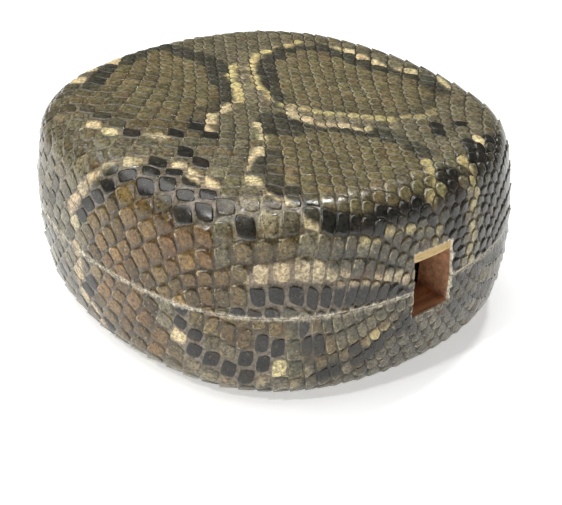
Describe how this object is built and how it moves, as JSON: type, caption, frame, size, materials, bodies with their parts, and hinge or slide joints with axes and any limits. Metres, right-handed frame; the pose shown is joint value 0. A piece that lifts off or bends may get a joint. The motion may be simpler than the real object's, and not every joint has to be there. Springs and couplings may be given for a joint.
{
  "type": "sanshin drum",
  "caption": "Rounded drum body of a snakeskin lute: mitred hardwood frame, python skins over both faces meeting in a side seam, and sockets for the neck's tenon.",
  "frame": {"origin": "middle of the back skin's flat face, on which the drum lies", "axes": "+Z out through the front (played) skin, -Y towards the neck, +Y towards the tail, +X to the right with the front skin up and the neck towards the viewer"},
  "size_m": [0.173, 0.1854, 0.078],
  "materials": {
    "python_skin": "stretched and pasted reticulated-python skin, semi-gloss scales with raised edges",
    "frame_wood": "unfinished hardwood, sawn and pared, pale where freshly cut",
    "bamboo": "split and rounded bamboo, unfinished"
  },
  "bodies": {
    "root": {"front_skin": "python_skin", "back_skin": "python_skin", "neck_block": "frame_wood", "tail_block": "frame_wood", "left_block": "frame_wood", "right_block": "frame_wood", "dowel_neck_left_back": "bamboo", "dowel_neck_left_front": "bamboo", "dowel_neck_right_back": "bamboo", "dowel_neck_right_front": "bamboo", "dowel_tail_left_back": "bamboo", "dowel_tail_left_front": "bamboo", "dowel_tail_right_back": "bamboo", "dowel_tail_right_front": "bamboo"}
  },
  "joints": []
}
